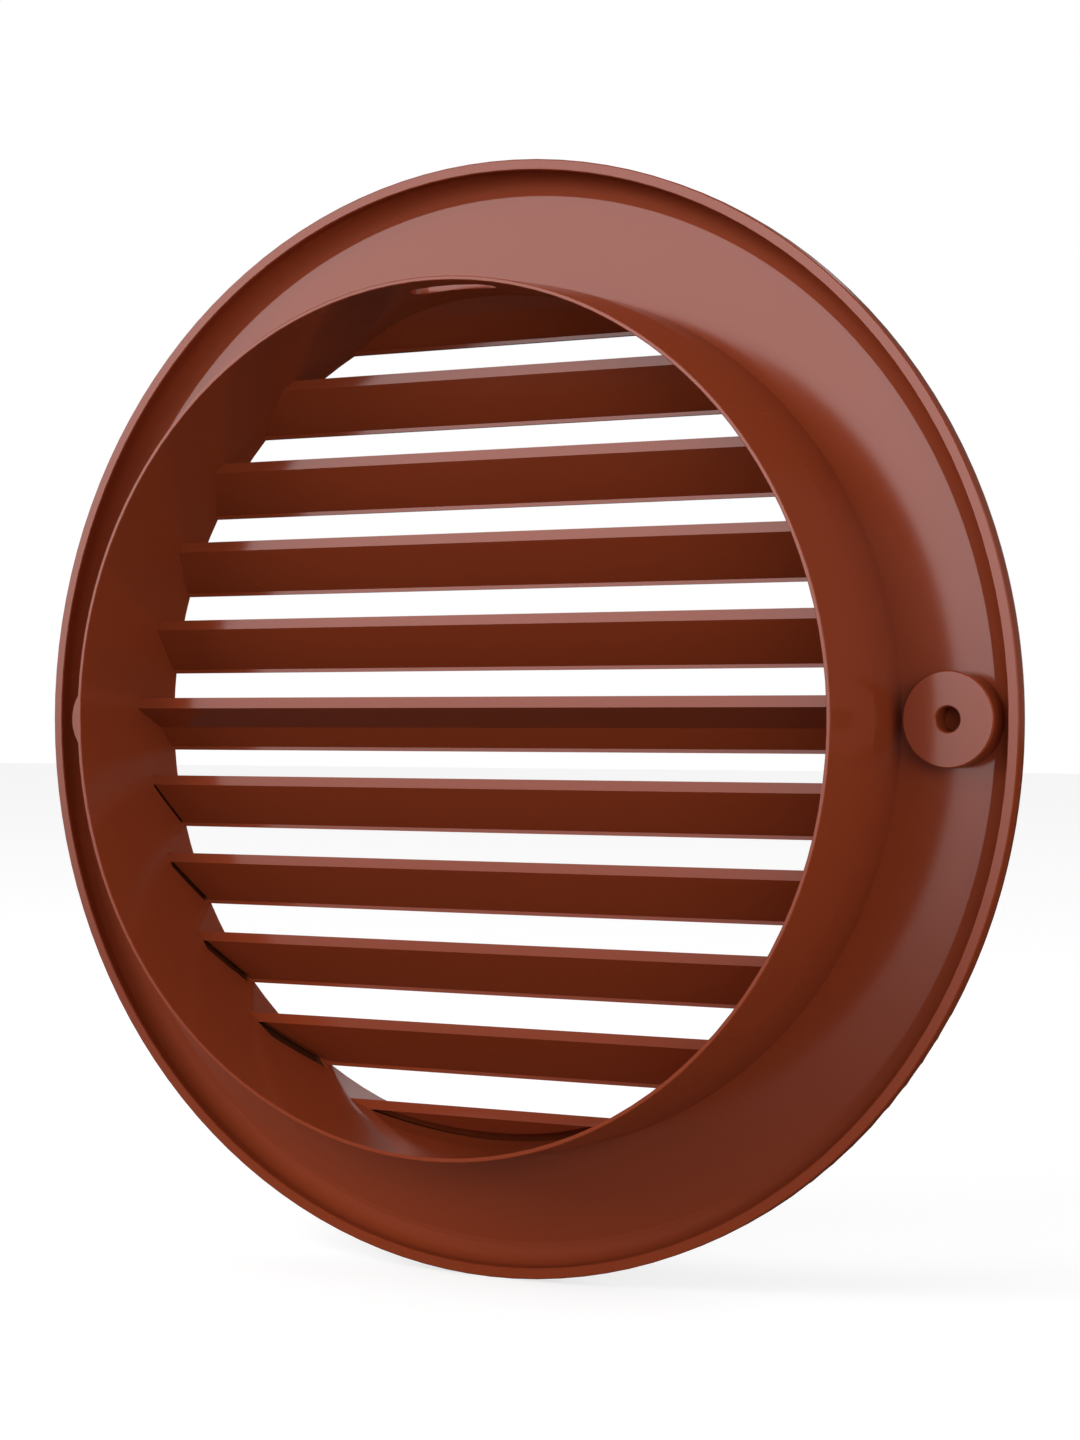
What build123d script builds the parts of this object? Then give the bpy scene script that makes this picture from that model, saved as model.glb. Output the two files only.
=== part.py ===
from build123d import *
from math import cos, radians, sin, sqrt, tan
import os

os.makedirs("parts", exist_ok=True)

# Driving dimensions, in millimetres and degrees.
# The row frame: the wall plane is y = 0, the duct side is +y, up is +z.

# The flange: a flat plate that stands off the wall on a thin rim.
flange_radius = 65.0
rim_wall = 1.25
plate_thickness = 1.25
rim_fillet = 1.95
rim_height = 3.2
front_depth = rim_height + plate_thickness
front_round = rim_fillet + plate_thickness

# The spigot: a short tube that pushes into the duct, slightly tapered at its end.
bore_radius = 49.25
spigot_radius = 50.3
spigot_tip_radius = 49.72
taper_start = 4.2
spigot_reach = 14.25

# The fixed louvre blades, one section repeated down the bore.
blade_count = 11
blade_pitch = 9.583
blade_back = 0.66
blade_back_top = 2.611
blade_back_height = 1.159
blade_slope = 47.5
lip_back = -3.8
lip_bottom = -3.849
blade_front_top = -2.56
wall_overlap = 0.55

# The reliefs under the lower blades' ends, which grow towards the bottom.
relief_count = 5
relief_rise = 0.9
relief_depth = 0.6
relief_drop = 0.95
relief_last_drop = 0.15
relief_end = 0.04
relief_wall_depth = 0.5

# The middle blade, whose back edge reaches further into the spigot.
middle_back = 3.1
middle_back_bottom = 1.33
middle_join = -1.6

# The two screw bosses with their blind pilot holes.
boss_centre = 56.93
boss_radius = 5.27
boss_edge = 0.15
pilot_radius = 1.38
pilot_depth = 2.8
boss_root = 0.4

# The slot through the top of the spigot wall.
slot_length = 11.0
slot_width = 3.3
slot_centre = 8.4
slot_floor = 45.0
slot_height = 8.0

# Broken edges of the rim and of the spigot's end.
rim_edge = 0.12
tip_edge = 0.08

# The ring: flange, rim and spigot in one section turned round the y axis.
fillet_centre = flange_radius - front_round
arc_share = sin(radians(45))

with BuildPart() as ring:
    with BuildSketch(Plane.XY) as ring_section:
        with BuildLine() as ring_outline:
            Line((bore_radius, -front_depth), (bore_radius, spigot_reach))
            Line((bore_radius, spigot_reach), (spigot_tip_radius, spigot_reach))
            Line((spigot_tip_radius, spigot_reach), (spigot_radius, taper_start))
            Line((spigot_radius, taper_start), (spigot_radius, -rim_height))
            Line((spigot_radius, -rim_height), (fillet_centre, -rim_height))
            ThreePointArc(
                (fillet_centre, -rim_height),
                (fillet_centre + rim_fillet * arc_share, -rim_wall - rim_fillet * arc_share),
                (flange_radius - rim_wall, -rim_wall),
            )
            Line((flange_radius - rim_wall, -rim_wall), (flange_radius - rim_wall, 0))
            Line((flange_radius - rim_wall, 0), (flange_radius, 0))
            Line((flange_radius, 0), (flange_radius, -rim_wall))
            ThreePointArc(
                (flange_radius, -rim_wall),
                (fillet_centre + front_round * arc_share, -rim_wall - front_round * arc_share),
                (fillet_centre, -front_depth),
            )
            Line((fillet_centre, -front_depth), (bore_radius, -front_depth))
        make_face()
        chamfer(ring_section.vertices().sort_by(Axis.Y)[-2:], length=tip_edge)
        chamfer(ring_section.vertices().filter_by_position(Axis.Y, -tip_edge, tip_edge), length=rim_edge)
    revolve(axis=Axis.Y)

# The louvre blades: a sloping web with a flat back edge and a square drip lip at the
# front, clipped to a cylinder just inside the spigot wall so each end merges into it.
blade_back_bottom = blade_back_top - blade_back_height
lip_top = blade_back_bottom - (blade_back - lip_back) * tan(radians(blade_slope))
first_blade = (blade_count - 1) / 2 * blade_pitch
middle_join_z = blade_back_bottom - (blade_back - middle_join) * tan(radians(blade_slope))

with BuildPart() as louvres:
    with BuildSketch(Plane.YZ) as blade_section:
        with BuildLine() as blade_outline:
            Polyline(
                (blade_back, blade_back_top),
                (blade_back, blade_back_bottom),
                (lip_back, lip_top),
                (lip_back, lip_bottom),
                (-front_depth, lip_bottom),
                (-front_depth, blade_front_top),
                close=True,
            )
        one_blade = make_face(mode=Mode.PRIVATE)
        with Locations(*[(0, first_blade - step * blade_pitch) for step in range(blade_count)]):
            add(one_blade)
        with BuildLine() as middle_outline:
            Polyline(
                (blade_back, blade_back_top),
                (middle_back, blade_back_top),
                (middle_back, middle_back_bottom),
                (middle_join, middle_join_z),
                close=True,
            )
        make_face()
    extrude(amount=spigot_radius, both=True)
    with Locations((0, (spigot_reach - front_depth) / 2, 0)):
        Cylinder(
            bore_radius + wall_overlap,
            spigot_reach + front_depth,
            rotation=(90, 0, 0),
            mode=Mode.INTERSECT,
        )

# The reliefs: a crescent between the bore and the same circle lifted a little, cut into
# the underside of each lower blade, and below it a band that is cut into the spigot wall.
slope_y = cos(radians(blade_slope))
slope_z = sin(radians(blade_slope))
relief_length = (blade_back - lip_back) / slope_y - relief_end

with BuildPart() as reliefs:
    with BuildSketch(Plane.YZ) as relief_section:
        for step in range(1, relief_count + 1):
            drop = step * blade_pitch
            if step == relief_count:
                band = relief_last_drop
            else:
                band = relief_drop * drop / sqrt(bore_radius**2 - drop**2)
            start_z = blade_back_bottom - drop
            end_y = blade_back - relief_length * slope_y
            end_z = start_z - relief_length * slope_z
            with BuildLine() as relief_outline:
                Polyline(
                    (blade_back, start_z),
                    (blade_back - relief_depth * slope_z, start_z + relief_depth * slope_y),
                    (end_y - relief_depth * slope_z, end_z + relief_depth * slope_y),
                    (end_y + band * slope_z, end_z - band * slope_y),
                    (blade_back, start_z - band / slope_y),
                    close=True,
                )
            make_face()
    extrude(amount=spigot_radius, both=True)
    Cylinder(
        bore_radius + relief_wall_depth,
        spigot_reach + front_depth,
        rotation=(90, 0, 0),
        mode=Mode.INTERSECT,
    )
    with Locations((0, 0, relief_rise)):
        Cylinder(
            bore_radius,
            spigot_reach + front_depth,
            rotation=(90, 0, 0),
            mode=Mode.SUBTRACT,
        )

# The screw bosses, level with the rim, each with a blind pilot hole.
with BuildPart() as bosses:
    with BuildSketch(Plane.XZ.offset(rim_height + boss_root)) as boss_section:
        with Locations((-boss_centre, 0), (boss_centre, 0)):
            Circle(boss_radius)
    extrude(amount=-(rim_height + boss_root))
    with BuildSketch(Plane.XZ) as pilot_section:
        with Locations((-boss_centre, 0), (boss_centre, 0)):
            Circle(pilot_radius)
    extrude(amount=pilot_depth, mode=Mode.SUBTRACT)
    chamfer(bosses.edges().group_by(Axis.Y)[-1], length=boss_edge)

with BuildPart() as grille_body:
    add(ring.part)
    add(louvres.part)
    add(bosses.part)
    add(reliefs.part, mode=Mode.SUBTRACT)
    with BuildSketch(Plane.XY.offset(slot_floor)) as slot_section:
        with Locations((0, slot_centre)):
            SlotOverall(slot_length, slot_width)
    extrude(amount=slot_height, mode=Mode.SUBTRACT)

grille_body.part.label = "grille_body"
export_step(grille_body.part, "parts/grille_body.step")
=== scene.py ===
import logging
from dataclasses import dataclass, field, replace
from enum import Enum

import bmesh
import bpy
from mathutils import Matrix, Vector


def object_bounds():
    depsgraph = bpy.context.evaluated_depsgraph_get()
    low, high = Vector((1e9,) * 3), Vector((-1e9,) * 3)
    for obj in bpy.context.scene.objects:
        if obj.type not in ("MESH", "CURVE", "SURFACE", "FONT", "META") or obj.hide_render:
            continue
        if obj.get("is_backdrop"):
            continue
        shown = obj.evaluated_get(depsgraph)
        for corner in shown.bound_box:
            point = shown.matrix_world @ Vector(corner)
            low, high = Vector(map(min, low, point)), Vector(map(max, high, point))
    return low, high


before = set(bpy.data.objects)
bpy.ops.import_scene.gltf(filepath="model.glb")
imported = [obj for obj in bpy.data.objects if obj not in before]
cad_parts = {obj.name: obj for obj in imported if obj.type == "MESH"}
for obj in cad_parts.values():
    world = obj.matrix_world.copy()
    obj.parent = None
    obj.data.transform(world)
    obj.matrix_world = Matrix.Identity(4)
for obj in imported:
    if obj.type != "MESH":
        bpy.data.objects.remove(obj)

LOG = logging.getLogger("vent_grille")
PHOTO_HEIGHT_PX = 1440.0
SENSOR_MM = 36.0
UNIT_HALF = 0.5
WHITE = (1.0, 1.0, 1.0, 1.0)

Colour = tuple[float, float, float]
Point = tuple[float, float, float]


class RayKind(Enum):
    """The rays that see the plain white surroundings, by Light Path output."""

    CAMERA = "Is Camera Ray"
    GLOSSY = "Is Glossy Ray"
    TRANSMISSION = "Is Transmission Ray"


class Nodes:
    """A small helper that places and links the nodes of one tree."""

    def __init__(self, tree: bpy.types.NodeTree) -> None:
        """Empties the tree and keeps it.

        Args:
            tree: The node tree of a material or of the world.
        """
        self.tree = tree
        tree.nodes.clear()

    def add(self, kind: str, **settings: object) -> bpy.types.Node:
        """Adds one node and sets its own properties.

        Args:
            kind: The node's class name, such as ShaderNodeMath.
            settings: Properties of the node itself, by name.

        Returns:
            The new node.
        """
        node = self.tree.nodes.new(kind)
        for name, value in settings.items():
            setattr(node, name, value)
        return node

    def link(self, source: bpy.types.NodeSocket, target: bpy.types.NodeSocket) -> None:
        """Joins an output socket to an input socket."""
        self.tree.links.new(source, target)

    def maths(
        self, operation: str, first: object, second: object = 0.0
    ) -> bpy.types.NodeSocket:
        """Adds a Math node.

        Args:
            operation: The node's operation, such as ADD.
            first: A socket or a number for the first input.
            second: A socket or a number for the second input, where it has one.

        Returns:
            The node's output socket.
        """
        node = self.add("ShaderNodeMath", operation=operation)
        for slot, value in enumerate((first, second)):
            if isinstance(value, bpy.types.NodeSocket):
                self.link(value, node.inputs[slot])
            else:
                node.inputs[slot].default_value = value
        return node.outputs[0]

    def noise(
        self, place: bpy.types.NodeSocket, scale: float, detail: float
    ) -> bpy.types.NodeSocket:
        """Adds a Noise Texture node.

        Args:
            place: The coordinates that the pattern follows.
            scale: How fine the pattern is.
            detail: How many finer layers lie over it.

        Returns:
            A socket with the pattern, from 0 to 1.
        """
        pattern = self.add("ShaderNodeTexNoise")
        pattern.inputs["Scale"].default_value = scale
        pattern.inputs["Detail"].default_value = detail
        self.link(place, pattern.inputs["Vector"])
        return pattern.outputs["Fac"]

    def distance(
        self, first: bpy.types.NodeSocket, second: bpy.types.NodeSocket
    ) -> bpy.types.NodeSocket:
        """Works out a distance from its parts along two square axes.

        Args:
            first: The part along one axis.
            second: The part along the other axis.

        Returns:
            A socket with the distance.
        """
        first_square = self.maths("MULTIPLY", first, first)
        second_square = self.maths("MULTIPLY", second, second)
        return self.maths("SQRT", self.maths("ADD", first_square, second_square))

    def between(self, value: bpy.types.NodeSocket, low: float, high: float) -> bpy.types.NodeSocket:
        """Tests whether a value lies between two limits.

        Args:
            value: The value to test.
            low: The lower limit.
            high: The upper limit.

        Returns:
            A socket that is 1 between the limits and 0 elsewhere.
        """
        above = self.maths("GREATER_THAN", value, low)
        below = self.maths("LESS_THAN", value, high)
        return self.maths("MULTIPLY", above, below)

    def seen_directly(self) -> bpy.types.NodeSocket:
        """Adds a Light Path node for the rays that show the surroundings.

        Returns:
            A socket that is 1 for camera, glossy and transmission rays, and 0 for others.
        """
        path = self.add("ShaderNodeLightPath")
        total = path.outputs[RayKind.CAMERA.value]
        for kind in (RayKind.GLOSSY, RayKind.TRANSMISSION):
            total = self.maths("MAXIMUM", total, path.outputs[kind.value])
        return total


@dataclass(frozen=True)
class GlossPlastic:
    """Brick-brown plastic straight from a polished mould."""

    name: str = "gloss_brown_plastic"
    colour: Colour = (0.212, 0.0352, 0.0113)
    deep_colour: Colour = (0.198, 0.0328, 0.0103)
    # Near-black brown painted on the crevice walls as painted shade, in place of their shadow.
    crevice_shade_colour: Colour = (0.06, 0.014, 0.005)
    crevice_inner: float = 0.0494
    crevice_outer: float = 0.05
    crevice_back: float = 0.001
    specular: float = 0.5
    dull_specular: float = 0.08
    dull_roughness: float = 0.6
    corner_inner: float = 0.0612
    corner_outer: float = 0.0638
    corner_front: float = -0.0034
    hole_centre: float = 0.05693
    hole_radius: float = 0.0014
    surface_gap: float = 0.00005
    roughness: float = 0.12
    roughness_swing: float = 0.05
    ior: float = 1.5
    specular_tint: Colour = (1.0, 0.85, 0.85)
    flow_scale: float = 24.0
    flow_detail: float = 3.0
    grain_scale: float = 900.0
    grain_detail: float = 2.0
    wave_scale: float = 55.0
    wave_detail: float = 1.0
    wave_height: float = 0.00001
    wave_strength: float = 1.0

    def crevice_shade_mask(self, nodes: Nodes, parts: bpy.types.Node) -> bpy.types.NodeSocket:
        """Finds the walls of the crevices beside the lower blades, which get a painted shade.

        Those walls lie between the bore and the spigot's outside, in front of the blades'
        back edges. A thin ring of the front face round the bore lies there too, so it gets
        the same painted shade, which is a known fault.

        Args:
            nodes: The material's nodes.
            parts: The node that separates the Object coordinates.

        Returns:
            A socket that is 1 in a crevice and 0 elsewhere.
        """
        radius = nodes.distance(parts.outputs["X"], parts.outputs["Z"])
        behind_bore = nodes.between(radius, self.crevice_inner, self.crevice_outer)
        beside_blade = nodes.maths("LESS_THAN", parts.outputs["Y"], self.crevice_back)
        return nodes.maths("MULTIPLY", behind_bore, beside_blade)

    def unpolished(self, nodes: Nodes, parts: bpy.types.Node) -> bpy.types.NodeSocket:
        """Finds the rim's inner corner and the pilot holes, which the photo shows dull.

        Args:
            nodes: The material's nodes.
            parts: The node that separates the Object coordinates.

        Returns:
            A socket that is 1 where the plastic is dull and 0 elsewhere.
        """
        radius = nodes.distance(parts.outputs["X"], parts.outputs["Z"])
        by_rim = nodes.between(radius, self.corner_inner, self.corner_outer)
        in_recess = nodes.between(parts.outputs["Y"], self.corner_front, -self.surface_gap)
        corner = nodes.maths("MULTIPLY", by_rim, in_recess)
        sideways = nodes.maths("ABSOLUTE", parts.outputs["X"])
        aside = nodes.maths("SUBTRACT", sideways, self.hole_centre)
        reach = nodes.distance(aside, parts.outputs["Z"])
        by_hole = nodes.maths("LESS_THAN", reach, self.hole_radius)
        hole = nodes.maths("MULTIPLY", by_hole, in_recess)
        return nodes.maths("MAXIMUM", corner, hole)

    def material(self) -> bpy.types.Material:
        """Builds the procedural material, with a painted shade on the crevice walls.

        Returns:
            The material, with all its patterns on Object coordinates.
        """
        made = bpy.data.materials.new(self.name)
        made.use_nodes = True
        nodes = Nodes(made.node_tree)
        place = nodes.add("ShaderNodeTexCoord").outputs["Object"]
        parts = nodes.add("ShaderNodeSeparateXYZ")
        nodes.link(place, parts.inputs["Vector"])
        flow = nodes.noise(place, self.flow_scale, self.flow_detail)
        tint = nodes.add("ShaderNodeMix", data_type="RGBA")
        tint.inputs["A"].default_value = (*self.deep_colour, 1.0)
        tint.inputs["B"].default_value = (*self.colour, 1.0)
        nodes.link(flow, tint.inputs["Factor"])
        # Painted shade: the crevice walls are mixed to a near-black brown in place of their shadow.
        shaded = nodes.add("ShaderNodeMix", data_type="RGBA")
        nodes.link(self.crevice_shade_mask(nodes, parts), shaded.inputs["Factor"])
        nodes.link(tint.outputs["Result"], shaded.inputs["A"])
        shaded.inputs["B"].default_value = (*self.crevice_shade_colour, 1.0)
        grain = nodes.noise(place, self.grain_scale, self.grain_detail)
        swing = nodes.maths("MULTIPLY", grain, self.roughness_swing)
        wave = nodes.noise(place, self.wave_scale, self.wave_detail)
        bump = nodes.add("ShaderNodeBump")
        bump.inputs["Strength"].default_value = self.wave_strength
        bump.inputs["Distance"].default_value = self.wave_height
        nodes.link(wave, bump.inputs["Height"])
        shader = nodes.add("ShaderNodeBsdfPrincipled")
        shader.inputs["IOR"].default_value = self.ior
        shader.inputs["Specular Tint"].default_value = (*self.specular_tint, 1.0)
        nodes.link(shaded.outputs["Result"], shader.inputs["Base Color"])
        unpolished = self.unpolished(nodes, parts)
        dull = nodes.add("ShaderNodeMix", data_type="FLOAT")
        nodes.link(unpolished, dull.inputs["Factor"])
        nodes.link(nodes.maths("ADD", swing, self.roughness), dull.inputs["A"])
        dull.inputs["B"].default_value = self.dull_roughness
        nodes.link(dull.outputs["Result"], shader.inputs["Roughness"])
        sheen_loss = nodes.maths("MULTIPLY", unpolished, self.specular - self.dull_specular)
        sheen = nodes.maths("SUBTRACT", self.specular, sheen_loss)
        nodes.link(sheen, shader.inputs["Specular IOR Level"])
        nodes.link(bump.outputs["Normal"], shader.inputs["Normal"])
        output = nodes.add("ShaderNodeOutputMaterial")
        nodes.link(shader.outputs["BSDF"], output.inputs["Surface"])
        return made


@dataclass
class GrilleBody:
    """The one-piece moulding: flange, spigot, louvre blades and screw bosses."""

    finish: GlossPlastic = field(default_factory=GlossPlastic)
    node: str = "grille_body"

    def dress(self) -> bpy.types.Object:
        """Gives the carried-over CAD node its plastic.

        Returns:
            The CAD node's object.
        """
        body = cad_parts[self.node]
        body.data.materials.clear()
        body.data.materials.append(self.finish.material())
        LOG.info("dressed %s with %s", body.name, self.finish.name)
        return body


@dataclass
class Softbox:
    """One plain white studio lamp with a square face, which reflections don't see."""

    name: str
    place: Point
    aim: Point
    width: float
    height: float
    power: float

    def build(self) -> bpy.types.Object:
        """Makes the lamp and turns its face to the point it lights.

        Returns:
            The lamp's object.
        """
        data = bpy.data.lights.new(self.name, "AREA")
        data.shape = "RECTANGLE"
        data.size = self.width
        data.size_y = self.height
        data.energy = self.power
        lamp = bpy.data.objects.new(self.name, data)
        bpy.context.scene.collection.objects.link(lamp)
        lamp.location = self.place
        lamp.visible_glossy = False
        direction = Vector(self.aim) - Vector(self.place)
        lamp.rotation_euler = direction.to_track_quat("-Z", "Y").to_euler()
        return lamp


@dataclass(frozen=True)
class Grade:
    """How a card's glow runs from a near to a far level along one direction."""

    near_glow: float
    far_glow: float
    direction: Point = (0.0, 0.0, 1.0)
    near_distance: float = 0.0
    far_distance: float = 1.0


@dataclass(frozen=True)
class ReflectionCard:
    """A studio card out of the light, which only glossy reflections see."""

    name: str
    place: Point
    width: float
    height: float
    grade: Grade

    def material(self) -> bpy.types.Material:
        """Builds the card's plain graded material.

        Returns:
            The material, graded on Object coordinates.
        """
        made = bpy.data.materials.new(self.name)
        made.use_nodes = True
        nodes = Nodes(made.node_tree)
        place = nodes.add("ShaderNodeTexCoord").outputs["Object"]
        reach = nodes.add("ShaderNodeVectorMath", operation="DOT_PRODUCT")
        nodes.link(place, reach.inputs[0])
        reach.inputs[1].default_value = self.grade.direction
        level = nodes.add("ShaderNodeMapRange", interpolation_type="SMOOTHSTEP")
        level.inputs["From Min"].default_value = self.grade.near_distance
        level.inputs["From Max"].default_value = self.grade.far_distance
        level.inputs["To Min"].default_value = self.grade.near_glow
        level.inputs["To Max"].default_value = self.grade.far_glow
        nodes.link(reach.outputs["Value"], level.inputs["Value"])
        glow = nodes.add("ShaderNodeEmission")
        nodes.link(level.outputs["Result"], glow.inputs["Strength"])
        output = nodes.add("ShaderNodeOutputMaterial")
        nodes.link(glow.outputs["Emission"], output.inputs["Surface"])
        return made

    def build(self) -> bpy.types.Object:
        """Stands the card at its place with its face to the grille.

        Returns:
            The card's object, hidden from all but reflections.
        """
        form = bmesh.new()
        bmesh.ops.create_grid(form, x_segments=1, y_segments=1, size=UNIT_HALF)
        bmesh.ops.scale(form, verts=form.verts, vec=(self.width, self.height, 1.0))
        turn = Vector(self.place).to_track_quat("Z", "Y").to_matrix()
        bmesh.ops.rotate(form, verts=form.verts, matrix=turn)
        bmesh.ops.translate(form, verts=form.verts, vec=self.place)
        mesh = bpy.data.meshes.new(self.name)
        form.to_mesh(mesh)
        form.free()
        mesh.materials.append(self.material())
        card = bpy.data.objects.new(self.name, mesh)
        bpy.context.scene.collection.objects.link(card)
        card.visible_camera = False
        card.visible_diffuse = False
        card.visible_shadow = False
        card.visible_transmission = False
        card.visible_volume_scatter = False
        card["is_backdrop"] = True
        return card


@dataclass
class Studio:
    """Plain white surroundings, the floor, the cards and the lamps."""

    floor_half: float = 3.0
    floor_gap: float = 0.00005
    floor_colour: Colour = (0.4, 0.4, 0.4)
    floor_lift: float = 0.7
    card_gap: float = 0.00002
    ambient: float = 0.53
    floor_card: ReflectionCard = ReflectionCard(
        "floor_card", (0.0, 0.0, -1.0), 6.0, 6.0,
        Grade(0.01, 1.8, (0.5, 0.87, 0.0), -0.08, 1.25))
    cards: list[ReflectionCard] = field(default_factory=lambda: [
        ReflectionCard("front_card", (0.75, 1.3, 0.15), 1.6, 0.62,
                       Grade(1.2, 3.6, (0.0, 0.0, 1.0), -0.14, 0.12)),
        ReflectionCard("back_left_card", (-1.1, -1.5, 0.5), 3.4, 2.0, Grade(0.11, 0.11)),
        ReflectionCard("back_right_card", (1.1, -1.6, 0.34), 2.0, 1.1, Grade(0.14, 0.14)),
        ReflectionCard("upper_card", (0.8, 1.45, 1.0), 3.0, 1.0, Grade(0.1, 0.1)),
        ReflectionCard("top_card", (0.0, 0.0, 1.5), 4.6, 4.6, Grade(0.1, 0.1)),
    ])
    lamps: list[Softbox] = field(default_factory=lambda: [
        Softbox("key_softbox", (0.6, 0.85, 0.6), (0.0, 0.0, 0.0), 0.8, 0.8, 9.9),
        Softbox("side_softbox", (-1.2, 0.3, 0.1), (0.0, 0.0, 0.0), 0.8, 0.8, 4.2),
        Softbox("low_softbox", (-0.9, 1.0, 0.05), (0.0, 0.0, 0.0), 0.8, 0.8, 10.7),
    ])

    def surroundings(self) -> None:
        """Sets a white world whose ambient light is held at a plain level."""
        world = bpy.data.worlds.new("white_surroundings")
        bpy.context.scene.world = world
        world.use_nodes = True
        nodes = Nodes(world.node_tree)
        seen = nodes.seen_directly()
        share = nodes.maths("MULTIPLY", seen, 1.0 - self.ambient)
        background = nodes.add("ShaderNodeBackground")
        background.inputs["Color"].default_value = WHITE
        nodes.link(nodes.maths("ADD", share, self.ambient), background.inputs["Strength"])
        output = nodes.add("ShaderNodeOutputWorld")
        nodes.link(background.outputs["Background"], output.inputs["Surface"])

    def floor(self) -> float:
        """Lays the white floor just under the rim, so that it keeps the shadow.

        Returns:
            The floor's level, in metres.
        """
        made = bpy.data.materials.new("white_floor")
        made.use_nodes = True
        nodes = Nodes(made.node_tree)
        matt = nodes.add("ShaderNodeBsdfDiffuse")
        matt.inputs["Color"].default_value = (*self.floor_colour, 1.0)
        glow = nodes.add("ShaderNodeEmission")
        glow.inputs["Color"].default_value = WHITE
        lift = nodes.maths("MULTIPLY", nodes.seen_directly(), self.floor_lift)
        nodes.link(lift, glow.inputs["Strength"])
        both = nodes.add("ShaderNodeAddShader")
        nodes.link(matt.outputs["BSDF"], both.inputs[0])
        nodes.link(glow.outputs["Emission"], both.inputs[1])
        output = nodes.add("ShaderNodeOutputMaterial")
        nodes.link(both.outputs["Shader"], output.inputs["Surface"])
        low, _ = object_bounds()
        level = low[2] - self.floor_gap
        mesh = bpy.data.meshes.new("studio_floor")
        form = bmesh.new()
        bmesh.ops.create_grid(form, x_segments=1, y_segments=1, size=self.floor_half)
        bmesh.ops.translate(form, verts=form.verts, vec=(0.0, 0.0, level))
        form.to_mesh(mesh)
        form.free()
        mesh.materials.append(made)
        ground = bpy.data.objects.new("studio_floor", mesh)
        bpy.context.scene.collection.objects.link(ground)
        ground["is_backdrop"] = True
        return level

    def build(self) -> None:
        """Makes the surroundings, the floor, the cards and every lamp."""
        self.surroundings()
        level = self.floor()
        replace(self.floor_card, place=(0.0, 0.0, level + self.card_gap)).build()
        for card in self.cards:
            card.build()
        for lamp in self.lamps:
            lamp.build()
            LOG.info("placed lamp %s", lamp.name)
        bpy.context.scene.view_settings.view_transform = "Standard"


@dataclass
class Viewpoint:
    """The camera, at the photograph's place and angle."""

    place: Point = (-0.17698, 0.29418, 0.000145)
    direction: Point = (0.50111, -0.86538, -0.0007)
    focal_px: float = 2945.87
    near_limit: float = 0.01

    def build(self) -> bpy.types.Object:
        """Makes the camera and makes it the scene's own.

        Returns:
            The camera's object.
        """
        data = bpy.data.cameras.new("photo_camera")
        data.sensor_width = SENSOR_MM
        data.lens = self.focal_px * SENSOR_MM / PHOTO_HEIGHT_PX
        data.clip_start = self.near_limit
        camera = bpy.data.objects.new("photo_camera", data)
        bpy.context.scene.collection.objects.link(camera)
        camera.location = self.place
        camera.rotation_euler = Vector(self.direction).to_track_quat("-Z", "Y").to_euler()
        bpy.context.scene.camera = camera
        LOG.info("placed the camera, lens %.2f mm", data.lens)
        return camera


def main() -> None:
    """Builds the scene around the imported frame, piece by piece."""
    logging.basicConfig(level=logging.INFO, format="%(name)s: %(message)s")
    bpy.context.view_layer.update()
    Viewpoint().build()
    GrilleBody().dress()
    Studio().build()


if __name__ == "__main__":
    main()
